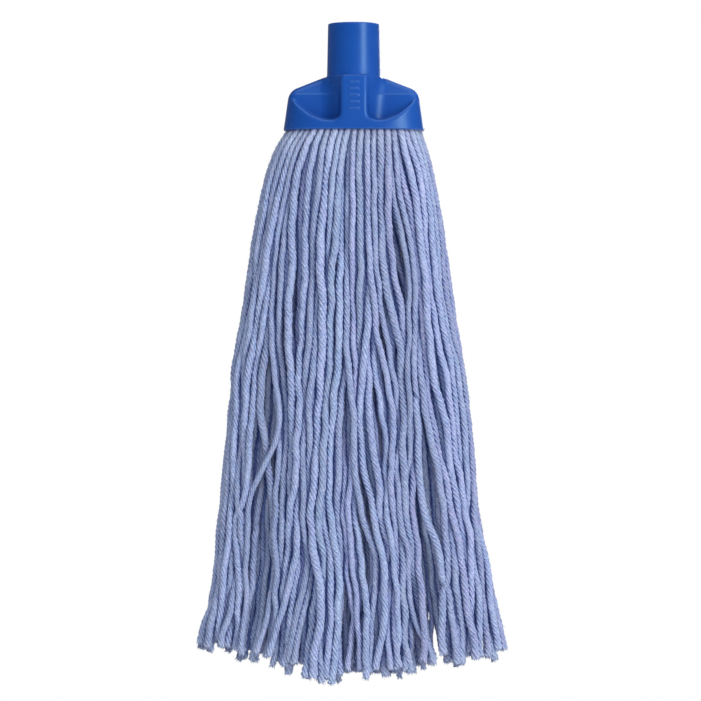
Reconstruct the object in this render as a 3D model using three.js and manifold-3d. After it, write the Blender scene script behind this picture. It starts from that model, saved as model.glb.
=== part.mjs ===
// String mop head: a moulded plastic socket that takes a 25 mm mop handle, a steel
// retaining pin across its mouth, and folded cotton-blend yarn that hangs from the pin.
// Millimetres, +Z up. The origin is the centre of the stop floor inside the handle bore,
// the face that the handle's end rests on. -Y is the front, which carries the raised bars,
// and -X is the left.
import * as THREE from 'three';
import { mergeVertices } from 'three/addons/utils/BufferGeometryUtils.js';
import Module from 'manifold-3d';

const wasm = await Module();
wasm.setup();

// ---------- materials ----------
const plasticMaterial = () =>
  new THREE.MeshStandardMaterial({ color: 0x1450a5, roughness: 0.38, metalness: 0 });
const steelMaterial = () =>
  new THREE.MeshStandardMaterial({ color: 0xb9bcc0, roughness: 0.35, metalness: 1 });
const yarnMaterial = () =>
  new THREE.MeshStandardMaterial({ color: 0x8a99c8, roughness: 0.9, metalness: 0 });

// ---------- solids and outlines ----------
const X_AXIS = new THREE.Vector3(1, 0, 0);
const Y_AXIS = new THREE.Vector3(0, 1, 0);
const Z_AXIS = new THREE.Vector3(0, 0, 1);

// a manifold from a geometry, which is used up
function solid(geometry) {
  geometry.deleteAttribute('normal');
  geometry.deleteAttribute('uv');
  const merged = mergeVertices(geometry, 1e-4);
  return new wasm.Manifold(
    new wasm.Mesh({
      numProp: 3,
      vertProperties: new Float32Array(merged.attributes.position.array),
      triVerts: new Uint32Array(merged.index.array),
    }),
  );
}

function geometryOf(manifold) {
  const mesh = manifold.getMesh();
  const positions = new Float32Array(mesh.vertProperties);
  const geometry = new THREE.BufferGeometry();
  geometry.setAttribute('position', new THREE.BufferAttribute(positions, 3));
  geometry.setIndex(new THREE.BufferAttribute(new Uint32Array(mesh.triVerts), 1));
  geometry.computeVertexNormals();
  return geometry;
}

// an outline drawn on two axes and extruded along their cross product
function extruded(outline, depth, across, up) {
  const shape = new THREE.Shape(outline.map(([a, b]) => new THREE.Vector2(a, b)));
  const along = new THREE.Vector3().crossVectors(across, up);
  return new THREE.ExtrudeGeometry(shape, { depth, bevelEnabled: false }).applyMatrix4(
    new THREE.Matrix4().makeBasis(across, up, along),
  );
}

// the XZ outline extrudes towards -Y, so it starts from y1
const prismXZ = (outline, y0, y1) =>
  extruded(outline, y1 - y0, X_AXIS, Z_AXIS).translate(0, y1, 0);
const prismYZ = (outline, x0, x1) =>
  extruded(outline, x1 - x0, Y_AXIS, Z_AXIS).translate(x0, 0, 0);
const prismXY = (outline, z0, z1) =>
  extruded(outline, z1 - z0, X_AXIS, Y_AXIS).translate(0, 0, z0);

// a turned solid about the Z axis from [radius, z] points, bottom to top
function turned(profile, segments) {
  const points = profile.map(([radius, z]) => new THREE.Vector2(radius, z));
  return new THREE.LatheGeometry(points, segments).rotateX(Math.PI / 2);
}

// one coordinate of a superellipse, from the cosine or sine of its angle
function superellipse(halfSize, ratio, power) {
  const value = halfSize * Math.sign(ratio) * Math.pow(Math.abs(ratio), 2 / power);
  return Math.abs(value) < 1e-7 ? 0 : value;
}

// an oval body: a turned disc stack whose rings are stretched to superellipses;
// levels are [z, half width (X), half depth (Y)]
function ovalBody(levels, power, segments) {
  const rings = levels.map(([z]) => [1, z]);
  const geometry = turned([[0, levels[0][0]], ...rings, [0, levels.at(-1)[0]]], segments);
  const position = geometry.attributes.position;
  for (let i = 0; i < position.count; i++) {
    const vertexZ = position.getZ(i);
    const distance = (level) => Math.abs(level[0] - vertexZ);
    const [z, halfWidth, halfDepth] = levels.reduce((best, level) =>
      distance(level) < distance(best) ? level : best,
    );
    const radius = Math.hypot(position.getX(i), position.getY(i));
    if (radius < 0.5) {
      // the centre of an end cap
      position.setXYZ(i, 0, 0, z);
      continue;
    }
    const x = superellipse(halfWidth, position.getX(i) / radius, power);
    const y = superellipse(halfDepth, position.getY(i) / radius, power);
    position.setXYZ(i, x, y, z);
  }
  return geometry;
}

// a column of a table at height z; column 0 holds z, and the end rows hold beyond the table
function interpolate(table, z, column) {
  const rows = [...table].sort((a, b) => b[0] - a[0]);
  if (z >= rows[0][0]) return rows[0][column];
  for (let i = 1; i < rows.length; i++) {
    const above = rows[i - 1];
    const below = rows[i];
    if (z >= below[0]) {
      const share = (z - below[0]) / (above[0] - below[0]);
      return below[column] + share * (above[column] - below[column]);
    }
  }
  return rows.at(-1)[column];
}

function arc(centreX, centreY, radius, from, to, steps) {
  const points = [];
  for (let i = 0; i <= steps; i++) {
    const angle = from + ((to - from) * i) / steps;
    points.push([centreX + radius * Math.cos(angle), centreY + radius * Math.sin(angle)]);
  }
  return points;
}

// ---------- retaining pin ----------
const PIN_R = 2.0;
const PIN_Z = -16.0;
const PIN_HALF_LENGTH = 38.6;

const makePin = () => new THREE.CylinderGeometry(PIN_R, PIN_R, 2 * PIN_HALF_LENGTH, 24);

// ---------- socket: one moulding ----------
// flared oval base: z, half width (X), half depth (Y)
const BASE_LEVELS = [
  [-22.0, 40.2, 21.0],
  [-21.2, 40.25, 21.05],
  [-12.0, 38.8, 20.3],
  [-1.5, 37.3, 19.6],
  [-0.2, 36.7, 19.3],
  [0.7, 35.9, 19.0],
  [1.3, 34.8, 18.6],
  [8.2, 17.9, 16.7],
];
const [MOUTH_Z, MOUTH_HALF_WIDTH, MOUTH_HALF_DEPTH] = BASE_LEVELS[0];
const BASE_POWER = 2.6; // superellipse power of the plan outline
const BASE_WALL = 2.4;
const BASE_SEGMENTS = 72;

// scooped pockets, one each side of the flat panel, front and back
const PANEL_HALF_WIDTH = 7.4;
const POCKET_TOP_Z = 14;
const POCKET_BOTTOM_Z = -17.5;
// x, z of the pocket's lower edge, from the panel outwards
const POCKET_EDGE = [
  [PANEL_HALF_WIDTH, -11.7], [7.9, -13.7], [9.2, -15.3], [11.2, -16.2],
  [13.8, -16.5], [17.8, -16.0], [23.9, -13.5], [29.1, -9.6],
  [33.1, -5.5], [36.2, -1.6], [40.0, 3.0],
];
// depth from the middle plane and z of the pocket's back wall
const POCKET_WALL = [[4.4, POCKET_TOP_Z], [8.0, -1.5], [12.2, POCKET_BOTTOM_Z]];
const POCKET_MIN_Y = 4.0;
const FLANK_FRONT_Y = 16.0;
const FLANK_BACK = { x: 15.2, y: 5.2 };
const FLANK_RUNOUT = 3; // width over which the flank's foot runs in to POCKET_MIN_Y
const CLEAR_X = 60; // cutters reach this far, outside the body
const CLEAR_Y = 40;

// sx and sy are the signs of the pocket's side in X and Y
function makePocket(sx, sy) {
  const mirrored = (points) => points.map(([x, other]) => [x * sx, other]);
  const outline = mirrored([
    [PANEL_HALF_WIDTH, POCKET_TOP_Z],
    ...POCKET_EDGE,
    [CLEAR_X, POCKET_EDGE.at(-1)[1]],
    [CLEAR_X, POCKET_TOP_Z],
  ]);
  const plan = [
    [PANEL_HALF_WIDTH, CLEAR_Y],
    [PANEL_HALF_WIDTH, FLANK_FRONT_Y],
    [FLANK_BACK.x, FLANK_BACK.y],
    [FLANK_BACK.x + FLANK_RUNOUT, POCKET_MIN_Y],
    [CLEAR_X, POCKET_MIN_Y],
    [CLEAR_X, CLEAR_Y],
  ].map(([x, y]) => [x * sx, y * sy]);
  const wall = [
    [CLEAR_Y, POCKET_TOP_Z],
    ...POCKET_WALL,
    [CLEAR_Y, POCKET_BOTTOM_Z],
  ].map(([y, z]) => [y * sy, z]);
  const y0 = sy > 0 ? 0 : -CLEAR_Y;
  return solid(prismXZ(outline, y0, y0 + CLEAR_Y))
    .intersect(solid(prismXY(plan, POCKET_BOTTOM_Z - 0.5, POCKET_TOP_Z)))
    .intersect(solid(prismYZ(wall, -CLEAR_X, CLEAR_X)));
}

const TUBE_TOP_Z = 39.0;
const TUBE_TAPER_Z = 8; // straight below, tapered above
const TUBE_BOTTOM_Z = -14;
const TUBE_R_TOP = 14.8;
const TUBE_R_BASE = 15.4;
const TUBE_RIM = [[0, -0.5], [-0.12, -0.15], [-0.45, 0]]; // offsets from top radius and top z
const TUBE_SEGMENTS = 64;

// handle tube, running down into the base as the column behind the panels
function makeTube() {
  const profile = [
    [0, TUBE_BOTTOM_Z],
    [TUBE_R_BASE, TUBE_BOTTOM_Z],
    [TUBE_R_BASE, TUBE_TAPER_Z],
    ...TUBE_RIM.map(([radius, z]) => [TUBE_R_TOP + radius, TUBE_TOP_Z + z]),
    [0, TUBE_TOP_Z],
  ];
  return solid(turned(profile, TUBE_SEGMENTS));
}

const BORE_R_BOTTOM = 12.65;
const BORE_R_TOP = 12.9;
const BORE_LEAD_IN = 0.45;
const BORE_OVERCUT = 0.1; // carries the lead-in cone past the tube's top face

// blind bore for the handle
function makeBore() {
  const leadInR = BORE_R_TOP + BORE_LEAD_IN + BORE_OVERCUT;
  const cutterTopZ = TUBE_TOP_Z + 2;
  const profile = [
    [0, 0],
    [BORE_R_BOTTOM, 0],
    [BORE_R_TOP, TUBE_TOP_Z - BORE_LEAD_IN],
    [leadInR, TUBE_TOP_Z + BORE_OVERCUT],
    [leadInR, cutterTopZ],
    [0, cutterTopZ],
  ];
  return solid(turned(profile, TUBE_SEGMENTS));
}

// plain raised bars down the front panel; root is the least depth sunk into it
const BAR = {
  count: 5, width: 6.4, height: 1.5, proud: 0.45, root: 1.6, topZ: 4.6, pitch: 3.7,
};

function makeBar(i) {
  const z = BAR.topZ - i * BAR.pitch;
  const frontY = -(interpolate(BASE_LEVELS, z, 2) + BAR.proud);
  const depth = BAR.root + BAR.proud;
  const bar = new THREE.BoxGeometry(BAR.width, depth, BAR.height);
  return solid(bar.translate(0, frontY + depth / 2, z));
}

// yarn chamber under the floor
const FLOOR_THICKNESS = 3.0;
const CHAMBER_TOP_Z = -FLOOR_THICKNESS;
const CHAMBER_SHOULDER_Z = -19.0;
const SLOT_BOTTOM_Z = CHAMBER_SHOULDER_Z - 0.5; // overlaps the mouth cutter
const SLOT_TOP = { halfWidth: 34.8, halfDepth: 5.6 };
const SLOT_BOTTOM = { halfWidth: 36.5, halfDepth: 9.4 };

// a slot between the pockets, tapered both ways
function makeSlot() {
  const trapezium = (halfTop, halfBottom) => [
    [-halfTop, CHAMBER_TOP_Z],
    [-halfBottom, SLOT_BOTTOM_Z],
    [halfBottom, SLOT_BOTTOM_Z],
    [halfTop, CHAMBER_TOP_Z],
  ];
  const section = trapezium(SLOT_TOP.halfDepth, SLOT_BOTTOM.halfDepth);
  const elevation = trapezium(SLOT_TOP.halfWidth, SLOT_BOTTOM.halfWidth);
  return solid(prismYZ(section, -50, 50)).intersect(solid(prismXZ(elevation, -30, 30)));
}

const MOUTH_FLARE = 0.3;
const SHOULDER_HALF_WIDTH = 39.7; // outside size that the wall is taken from
const SHOULDER_HALF_DEPTH = 20.8;

// the full oval mouth below the slot
function makeMouth() {
  const inset = BASE_WALL - MOUTH_FLARE;
  const levels = [
    [MOUTH_Z - 2, MOUTH_HALF_WIDTH - inset, MOUTH_HALF_DEPTH - inset],
    [CHAMBER_SHOULDER_Z, SHOULDER_HALF_WIDTH - BASE_WALL, SHOULDER_HALF_DEPTH - BASE_WALL],
  ];
  return solid(ovalBody(levels, BASE_POWER, BASE_SEGMENTS));
}

const PIN_HOLE = { radius: 2.3, length: 10, x: 38.5 };

function makePinHole(sx) {
  const hole = new THREE.CylinderGeometry(PIN_HOLE.radius, PIN_HOLE.radius, PIN_HOLE.length, 24);
  return solid(hole.rotateZ(Math.PI / 2).translate(sx * PIN_HOLE.x, 0, PIN_Z));
}

function makeSocket() {
  let body = solid(ovalBody(BASE_LEVELS, BASE_POWER, BASE_SEGMENTS));
  for (const sx of [-1, 1]) for (const sy of [-1, 1]) body = body.subtract(makePocket(sx, sy));
  body = body.add(makeTube());
  for (let i = 0; i < BAR.count; i++) body = body.add(makeBar(i));
  body = body.subtract(makeBore()).subtract(makeSlot()).subtract(makeMouth());
  for (const sx of [-1, 1]) body = body.subtract(makePinHole(sx));
  return geometryOf(body);
}

// ---------- yarn: two rows of five tufts and one tuft at each end ----------
const COLUMNS = [-2, -1, 0, 1, 2]; // row tufts, left to right
const HINGE_Z = -35.0; // where the yarn bends below the mouth
const MID_Z = -172.0; // where the yarn bends half way down
const TUFT_GAP = 1.4;
const LINK_GAP = 0.6; // between an upper link and the lower link's rounded top
// z, x of the three edges between tufts, counted from the middle
const TUFT_EDGES = [
  [-23.0, 6.1, 18.3, 30.5],
  [-76.0, 6.1, 18.3, 30.5],
  [-157.0, 9.1, 27.4, 45.6],
  [-206.0, 9.1, 27.4, 45.6],
  [-322.0, 12.5, 37.6, 62.6],
  [-334.0, 12.5, 37.6, 62.6],
];

// x of edge 1 to 3 on the right, or -1 to -3 on the left
const edgeAt = (edge, z) => Math.sign(edge) * interpolate(TUFT_EDGES, z, Math.abs(edge));
const leftEdgeOf = (column) => (column <= 0 ? column - 1 : column);
const rightEdgeOf = (column) => (column >= 0 ? column + 1 : column);

// the table's heights that lie clear of both ends, from the top down
const heightsBetween = (table, top, bottom) =>
  table.map(([z]) => z).filter((z) => z < top - 0.5 && z > bottom + 0.5);

const FOLD_OUTER_R = 6.8;
const FOLD_INNER_R = 2.35;
const FOLD_BOTTOM_Z = -22.9;
const FOLD_SHOULDER = { y: 7.3, z: CHAMBER_SHOULDER_Z + 0.1 };
const FOLD_CROTCH_Z = PIN_Z - 2.6; // where the legs' inner faces start to spread
const FOLD_LEG = 5.2; // thickness of a leg at its bottom
const FOLD_SIDE_GAP = 0.3;
const FOLD_END_X = 34.4;
const FOLD_SPREADS = [15.4, 15.2, 12.6]; // middle, next and outer columns
const FOLD_END_SPREAD = 7.4;

// folded yarn over the pin, from x0 to x1; spread is the half depth across its legs' bottoms
function makeFold(x0, x1, spread) {
  const profile = [
    [spread, FOLD_BOTTOM_Z],
    [FOLD_SHOULDER.y, FOLD_SHOULDER.z],
    ...arc(0, PIN_Z, FOLD_OUTER_R, 0, Math.PI, 12),
    [-FOLD_SHOULDER.y, FOLD_SHOULDER.z],
    [-spread, FOLD_BOTTOM_Z],
    [-spread + FOLD_LEG, FOLD_BOTTOM_Z],
    [-FOLD_INNER_R, FOLD_CROTCH_Z],
    ...arc(0, PIN_Z, FOLD_INNER_R, Math.PI, 0, 10),
    [FOLD_INNER_R, FOLD_CROTCH_Z],
    [spread - FOLD_LEG, FOLD_BOTTOM_Z],
  ];
  return prismYZ(profile, x0, x1);
}

function makeColumnFold(column) {
  const left = edgeAt(leftEdgeOf(column), MOUTH_Z) + FOLD_SIDE_GAP;
  const right = edgeAt(rightEdgeOf(column), MOUTH_Z) - FOLD_SIDE_GAP;
  return makeFold(left, right, FOLD_SPREADS[Math.abs(column)]);
}

const ROW_Y = 12.7; // middle of each row from the middle plane
const ROW_R = 11.2; // half of a row's thickness
const HEM_Z = [-333.0, -331.5, -328.5]; // middle, next and outer columns

// outline in X and Z of a row tuft's link between two heights
function columnOutline(column, top, bottom) {
  const heights = [top, ...heightsBetween(TUFT_EDGES, top, bottom), bottom];
  const left = heights.map((z) => [edgeAt(leftEdgeOf(column), z) + TUFT_GAP / 2, z]);
  const right = heights.map((z) => [edgeAt(rightEdgeOf(column), z) - TUFT_GAP / 2, z]);
  return [...left, ...right.reverse()];
}

// a row tuft swings front to back, so its rounded top is an arc in Y and Z
function makeRowLink(column, y, part) {
  const hinge = part === 'upper' ? HINGE_Z : MID_Z;
  const bottom = part === 'upper' ? MID_Z + ROW_R + LINK_GAP : HEM_Z[Math.abs(column)];
  const profile = [
    ...arc(y, hinge, ROW_R, 0, Math.PI, 16),
    [y - ROW_R, bottom],
    [y + ROW_R, bottom],
  ];
  const outline = columnOutline(column, hinge + ROW_R + 1, bottom);
  const cutHalfDepth = ROW_R + 5;
  return geometryOf(
    solid(prismYZ(profile, -90, 90)).intersect(
      solid(prismXZ(outline, y - cutHalfDepth, y + cutHalfDepth)),
    ),
  );
}

const END_HALF_DEPTH = 19.0;
const END_INSET = 0.7; // extra gap between an end tuft and the rows
const END_HEM_Z = -321.0;
const END_HEM_INSET = 1.6; // the hem's outer corner is drawn in by this
// z, half width of the whole bundle
const END_OUTER = [
  [-35.0, 44.9], [-50.0, 49.6], [-61.0, 51.9], [-90.0, 56.7], [-118.0, 60.7],
  [-147.0, 65.6], [-172.0, 68.0], [-204.0, 71.8], [-232.0, 75.2], [-261.0, 78.7],
  [-289.0, 82.9], [-306.0, 87.2], [-316.0, 88.6],
];

const innerAt = (z) => edgeAt(3, z) + TUFT_GAP / 2 + END_INSET;
const outerAt = (z) => interpolate(END_OUTER, z, 1);
const endRadiusAt = (z) => (outerAt(z) - innerAt(z)) / 2;

// an end tuft swings sideways, so its rounded top is an arc in X and Z
function makeEndLink(sx, part) {
  const upper = part === 'upper';
  const hinge = upper ? HINGE_Z : MID_Z;
  const centreX = (outerAt(hinge) + innerAt(hinge)) / 2;
  const bottom = upper ? MID_Z + endRadiusAt(MID_Z) + LINK_GAP : END_HEM_Z;
  const innerHeights = heightsBetween(TUFT_EDGES, hinge, bottom).reverse();
  const outline = [
    ...arc(centreX, hinge, endRadiusAt(hinge), Math.PI, 0, 14),
    ...heightsBetween(END_OUTER, hinge, bottom).map((z) => [outerAt(z), z]),
    [outerAt(bottom) - (upper ? 0 : END_HEM_INSET), bottom],
    [innerAt(bottom), bottom],
    ...innerHeights.map((z) => [innerAt(z), z]),
  ].map(([x, z]) => [x * sx, z]);
  return prismXZ(outline, -END_HALF_DEPTH, END_HALF_DEPTH);
}

// ---------- assembly ----------
const mop = new THREE.Group();

function place(name, geometry, material) {
  const mesh = new THREE.Mesh(geometry, material);
  mesh.name = name;
  mop.add(mesh);
  return mesh;
}
const placeYarn = (name, geometry) => place(`yarn_${name}`, geometry, yarnMaterial());

place('socket', makeSocket(), plasticMaterial());

const pin = place('retaining_pin', makePin(), steelMaterial());
pin.rotation.z = Math.PI / 2;
pin.position.set(0, 0, PIN_Z);

for (const column of COLUMNS) placeYarn(`fold_${column + 3}`, makeColumnFold(column));
const endFoldX = edgeAt(3, MOUTH_Z) + FOLD_SIDE_GAP;
placeYarn('fold_left', makeFold(-FOLD_END_X, -endFoldX, FOLD_END_SPREAD));
placeYarn('fold_right', makeFold(endFoldX, FOLD_END_X, FOLD_END_SPREAD));

for (const [side, y] of [['front', -ROW_Y], ['back', ROW_Y]])
  for (const column of COLUMNS)
    for (const part of ['upper', 'lower'])
      placeYarn(`${side}_${column + 3}_${part}`, makeRowLink(column, y, part));
for (const part of ['upper', 'lower']) {
  placeYarn(`left_${part}`, makeEndLink(-1, part));
  placeYarn(`right_${part}`, makeEndLink(1, part));
}

export default mop;
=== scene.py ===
"""A string mop head: a blue plastic socket with a handle tube, a steel retaining pin
through its base, yarn folded over the pin and a wide bundle of twisted strands below.

Z is up and the handle tube's axis is x = y = 0. The bundle is widest along X, the front
faces -Y and left is -X. Shapes are worked out in millimetres and stored in metres;
materials, studio and camera are in metres.
"""
import math
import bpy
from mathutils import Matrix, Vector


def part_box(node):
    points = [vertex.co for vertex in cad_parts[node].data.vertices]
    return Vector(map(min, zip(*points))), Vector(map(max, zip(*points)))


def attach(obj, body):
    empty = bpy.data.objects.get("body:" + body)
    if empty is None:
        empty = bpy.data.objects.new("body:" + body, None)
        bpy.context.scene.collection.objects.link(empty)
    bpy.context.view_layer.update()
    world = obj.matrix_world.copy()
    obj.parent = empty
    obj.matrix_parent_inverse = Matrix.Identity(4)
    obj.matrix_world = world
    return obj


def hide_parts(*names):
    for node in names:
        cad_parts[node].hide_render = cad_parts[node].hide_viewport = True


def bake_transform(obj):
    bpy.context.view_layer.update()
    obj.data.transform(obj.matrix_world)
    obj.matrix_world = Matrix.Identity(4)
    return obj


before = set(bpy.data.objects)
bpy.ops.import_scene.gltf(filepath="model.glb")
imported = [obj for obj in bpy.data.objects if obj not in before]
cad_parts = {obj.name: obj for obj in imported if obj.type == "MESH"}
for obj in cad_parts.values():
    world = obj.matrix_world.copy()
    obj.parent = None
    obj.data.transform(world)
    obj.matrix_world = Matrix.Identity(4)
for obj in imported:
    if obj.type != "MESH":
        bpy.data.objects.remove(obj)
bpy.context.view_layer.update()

from types import SimpleNamespace

import bpy
import numpy as np
from mathutils import Vector

RNG = np.random.default_rng(20260)
MILLIMETRE = 0.001
TAU = 2 * np.pi


# ---------------------------------------------------------------- shared helpers
def mesh_object(name, verts_mm, quads, tris=(), normals=None):
    """A smooth-shaded mesh from vertices in millimetres, quads (n, 4) and triangles (m, 3)."""
    quads = np.asarray(quads, np.int32)
    tris = np.asarray(tris, np.int32).reshape(-1, 3)
    mesh = bpy.data.meshes.new(name)
    coords = (np.asarray(verts_mm, np.float64) * MILLIMETRE).astype(np.float32)
    mesh.vertices.add(len(coords))
    mesh.vertices.foreach_set("co", coords.ravel())
    loops = np.concatenate([quads.ravel(), tris.ravel()]).astype(np.int32)
    mesh.loops.add(len(loops))
    mesh.loops.foreach_set("vertex_index", loops)
    starts = np.concatenate([np.arange(len(quads)) * 4, len(quads) * 4 + np.arange(len(tris)) * 3])
    mesh.polygons.add(len(starts))
    mesh.polygons.foreach_set("loop_start", starts.astype(np.int32))
    mesh.update(calc_edges=True)
    mesh.validate(verbose=False)
    mesh.polygons.foreach_set("use_smooth", np.ones(len(mesh.polygons), bool))
    if normals is not None:
        unit = normals / np.maximum(np.linalg.norm(normals, axis=1, keepdims=True), 1e-9)
        mesh.normals_split_custom_set_from_vertices([tuple(row) for row in unit.astype(np.float32)])
    ob = bpy.data.objects.new(name, mesh)
    bpy.context.scene.collection.objects.link(ob)
    return ob


def box_mm(node):
    return [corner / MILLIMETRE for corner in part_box(node)]


def unit_rows(vectors):
    return vectors / np.linalg.norm(vectors, axis=-1, keepdims=True)


def ease(share):
    share = np.clip(share, 0, 1)
    return share * share * (3 - 2 * share)


def catmull_rom(before, start, end, after, share):
    """The curve between start and end, shaped by the points on either side."""
    return 0.5 * (
        2 * start
        + (end - before) * share
        + (2 * before - 5 * start + 4 * end - after) * share ** 2
        + (3 * start - before - 3 * end + after) * share ** 3
    )


def spline(points, steps):
    """Catmull-Rom through the points, with this many steps from each to the next."""
    points = np.array(points, float)
    points = np.vstack([2 * points[0] - points[1], points, 2 * points[-1] - points[-2]])
    curve = [
        catmull_rom(*points[i - 1:i + 3], share)
        for i in range(1, len(points) - 2)
        for share in np.linspace(0, 1, steps, endpoint=False)
    ]
    return np.array(curve + [points[-2]])


def tube_faces(rows, count):
    """Quads between rings of count vertices, and end caps to two points after the last ring."""
    ring = np.arange(count)
    ahead = (ring + 1) % count
    row = np.arange(rows - 1)[:, None] * count
    corners = [row + ring, row + ahead, row + count + ahead, row + count + ring]
    quads = np.stack(corners, -1).reshape(-1, 4)
    last = (rows - 1) * count
    centre = np.full(count, rows * count)
    first_cap = np.stack([ahead, ring, centre], 1)
    last_cap = np.stack([last + ring, last + ahead, centre + 1], 1)
    return quads, np.vstack([first_cap, last_cap])


def curve_frames(centre):
    """Direction, two square cross axes and distance run along curves (..., points, 3)."""
    along = unit_rows(np.gradient(centre, axis=-2))
    x_axis = np.array([1.0, 0, 0])
    side = unit_rows(x_axis - (along @ x_axis)[..., None] * along)
    lengths = np.linalg.norm(np.diff(centre, axis=-2), axis=-1)
    start = np.zeros(lengths.shape[:-1] + (1,))
    run = np.concatenate([start, np.cumsum(lengths, -1)], -1)
    return along, side, np.cross(along, side), run


# ---------------------------------------------------------------- signed distances
# Distances are negative inside a solid.
def smooth_union(first, second, radius):
    share = np.clip(0.5 + 0.5 * (second - first) / radius, 0, 1)
    return second * (1 - share) + first * share - radius * share * (1 - share)


def smooth_overlap(first, second, radius):
    return -smooth_union(-first, -second, radius)


def smooth_cut(solid, tool, radius):
    return smooth_overlap(solid, -tool, radius)


def polygon_distance(x, y, polygon):
    nearest = np.full(x.shape, 1e9)
    inside = np.zeros(x.shape, bool)
    for (start_x, start_y), (end_x, end_y) in zip(polygon, np.roll(polygon, -1, axis=0)):
        edge_x, edge_y = end_x - start_x, end_y - start_y
        from_x, from_y = x - start_x, y - start_y
        length2 = edge_x * edge_x + edge_y * edge_y + 1e-12
        share = np.clip((from_x * edge_x + from_y * edge_y) / length2, 0, 1)
        gap2 = (from_x - edge_x * share) ** 2 + (from_y - edge_y * share) ** 2
        nearest = np.minimum(nearest, gap2)
        rise = edge_y if abs(edge_y) > 1e-12 else 1e-12
        crossing = edge_x * from_y / rise + start_x
        inside ^= ((start_y > y) != (end_y > y)) & (x < crossing)
    return np.where(inside, -1, 1) * np.sqrt(nearest)


def superellipse(x, y, half_x, half_y, power):
    """First-order distance to a superellipse."""
    share_x, share_y = np.abs(x) / half_x, np.abs(y) / half_y
    level = (share_x ** power + share_y ** power + 1e-9) ** (1 / power)
    slope_x = level ** (1 - power) * share_x ** (power - 1) / half_x
    slope_y = level ** (1 - power) * share_y ** (power - 1) / half_y
    return (level - 1) / np.maximum(np.sqrt(slope_x * slope_x + slope_y * slope_y), 1e-4)


CELL_CORNERS = [(i, j, k) for k in (0, 1) for j in (0, 1) for i in (0, 1)]


def surface_net(distance, low, high, cell):
    """Vertices and quads of the zero surface sampled on a grid."""
    counts = [int(math.ceil((end - start) / cell)) + 1 for start, end in zip(low, high)]
    grid_x, grid_y, grid_z = [start + cell * np.arange(n) for start, n in zip(low, counts)]
    slice_y, slice_z = np.meshgrid(grid_y, grid_z, indexing="ij")
    grid = np.empty(counts)
    for i, x in enumerate(grid_x):
        points = np.stack([np.full(slice_y.size, x), slice_y.ravel(), slice_z.ravel()], 1)
        grid[i] = distance(points).reshape(slice_y.shape)
    inside = grid < 0

    # one vertex in every cell the surface passes through, at the mean of its edge crossings
    filled = np.zeros([count - 1 for count in counts], int)
    for corner in CELL_CORNERS:
        filled += inside[tuple(slice(k, n - 1 + k) for k, n in zip(corner, counts))]
    active = (filled > 0) & (filled < 8)
    cells = np.argwhere(active)
    index = np.full(active.shape, -1, int)
    index[active] = np.arange(len(cells))
    total = np.zeros((len(cells), 3))
    crossings = np.zeros(len(cells))
    for i in range(8):
        for j in range(i + 1, 8):
            start, end = np.array(CELL_CORNERS[i]), np.array(CELL_CORNERS[j])
            if np.abs(start - end).sum() != 1:
                continue
            at_start = grid[tuple((cells + start).T)]
            at_end = grid[tuple((cells + end).T)]
            crossed = (at_start < 0) != (at_end < 0)
            share = np.where(crossed, at_start / np.where(crossed, at_start - at_end, 1), 0)
            total[crossed] += (start + (end - start) * share[:, None])[crossed]
            crossings[crossed] += 1
    verts = np.array(low) + cell * (cells + total / crossings[:, None])

    # one quad round every grid edge that crosses the surface
    quads = []
    for axis in range(3):
        near = [slice(1, count - 1) for count in counts]
        near[axis] = slice(0, counts[axis] - 1)
        far = list(near)
        far[axis] = slice(1, counts[axis])
        near_inside = inside[tuple(near)]
        change = np.argwhere(near_inside != inside[tuple(far)])
        outward = near_inside[tuple(change.T)]
        base = change + 1
        base[:, axis] -= 1
        back_1, back_2 = np.zeros(3, int), np.zeros(3, int)
        back_1[(axis + 1) % 3] = 1
        back_2[(axis + 2) % 3] = 1
        around = (base - back_1 - back_2, base - back_2, base, base - back_1)
        quad = np.stack([index[tuple(corner.T)] for corner in around], 1)
        quad[~outward] = quad[~outward][:, ::-1]
        quads.append(quad)
    return verts, np.vstack(quads)


def distance_gradient(distance, points, reach=0.02):
    gradient = np.empty_like(points)
    for k in range(3):
        shift = np.zeros(3)
        shift[k] = reach
        change = distance(points + shift) - distance(points - shift)
        gradient[:, k] = change / (2 * reach)
    return gradient


# ---------------------------------------------------------------- socket
MOUTH_Z = -22.0
SHOULDER_Z = -1.5
TUBE_TOP = 39.0
PIN_Z = -16.0
OVAL_POWER = 2.6

# half sizes of the tapered oval base at the mouth, and how much they lose up to the shoulder
BASE_HALF_WIDTH, BASE_WIDTH_LOSS = 40.2, 2.95
BASE_HALF_DEPTH, BASE_DEPTH_LOSS = 20.95, 1.55
SHOULDER_HALF_DEPTH = 19.4
BASE_TOP = 8.9

TUBE_RADIUS, TUBE_RADIUS_LOSS = 15.4, 0.62
TUBE_BOTTOM, TUBE_TAPER_Z = -14.0, 8.0
BORE_RADIUS, BORE_FLARE, LEAD_IN = 12.65, 0.25, 0.5

PANEL_HALF_WIDTH = 7.55  # the panel left between the pockets, front and back
POCKET_WALL_Y = 8.3
WALL_STEP_Z, WALL_STEP_RISE, WALL_STEP_DEPTH = -1.85, 0.7, 0.38

BAR_COUNT, BAR_TOP_Z, BAR_PITCH = 5, 4.6, 3.7
BAR_HALF_LENGTH, BAR_HALF_HEIGHT = 2.4, 0.08
BAR_SINK, BAR_ROUNDING = 0.05, 0.52

SLOT_TOP_Z = -3.0
SLOT_HALF_DEPTH, SLOT_HALF_WIDTH = 5.6, 34.9
OPENING_TOP_Z = -19.0
OPENING_HALF_WIDTH, OPENING_HALF_DEPTH = 37.75, 18.55
PIN_HOLE_RADIUS, PIN_HOLE_START = 2.3, 34.0

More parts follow.
